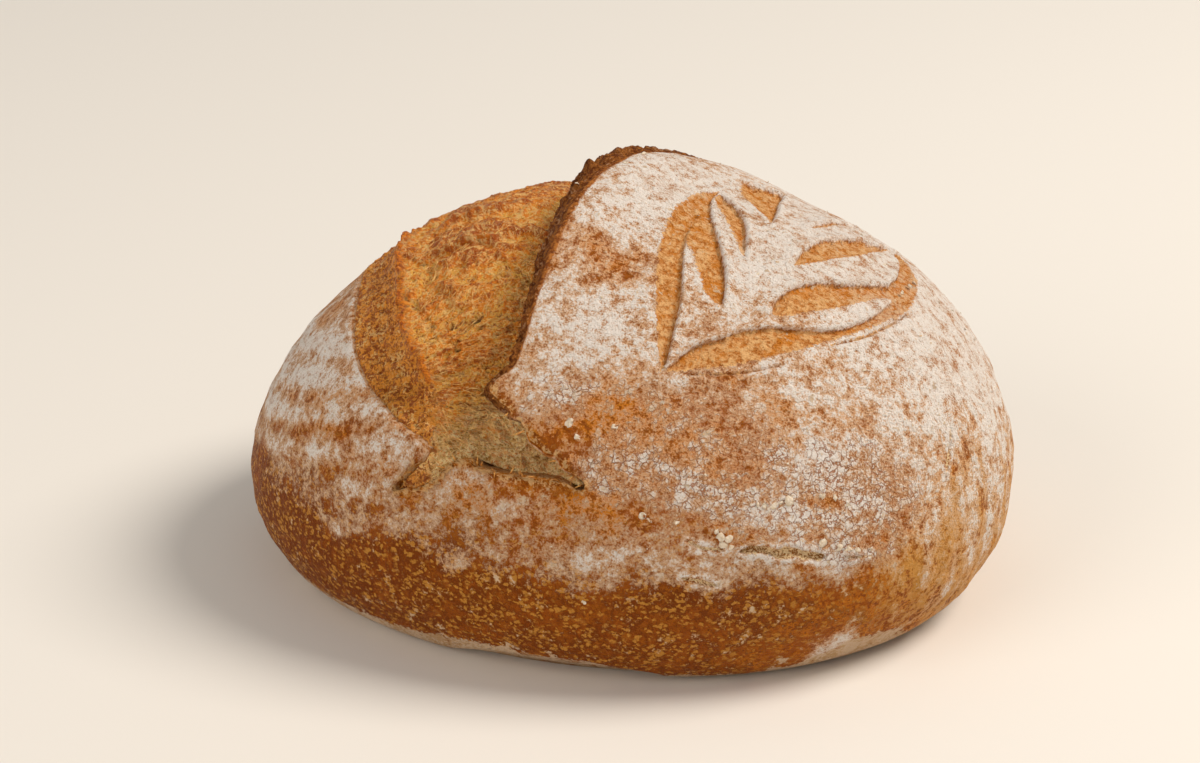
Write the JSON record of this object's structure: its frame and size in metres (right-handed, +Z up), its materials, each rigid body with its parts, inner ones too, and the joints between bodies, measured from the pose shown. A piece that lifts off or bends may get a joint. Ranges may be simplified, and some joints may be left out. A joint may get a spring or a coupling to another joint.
{
  "type": "sourdough loaf",
  "caption": "Round scored sourdough loaf with a raised ear, an open bloom of torn crumb, leaf scoring and a floured crust",
  "frame": {"origin": "centre of the bounding box on the flat underside that the loaf rests on", "axes": "+Z up; +X along the loaf's longest side, to the right as seen with the ear leaning right; the scored opening faces -Y"},
  "size_m": [0.221, 0.1834, 0.1202],
  "materials": {
    "crust": "baked wheat crust, mottled amber to dark brown, dusted with pale rice flour, matt with a faint sheen where bare"
  },
  "bodies": {
    "root": {"loaf": "crust"}
  },
  "joints": []
}
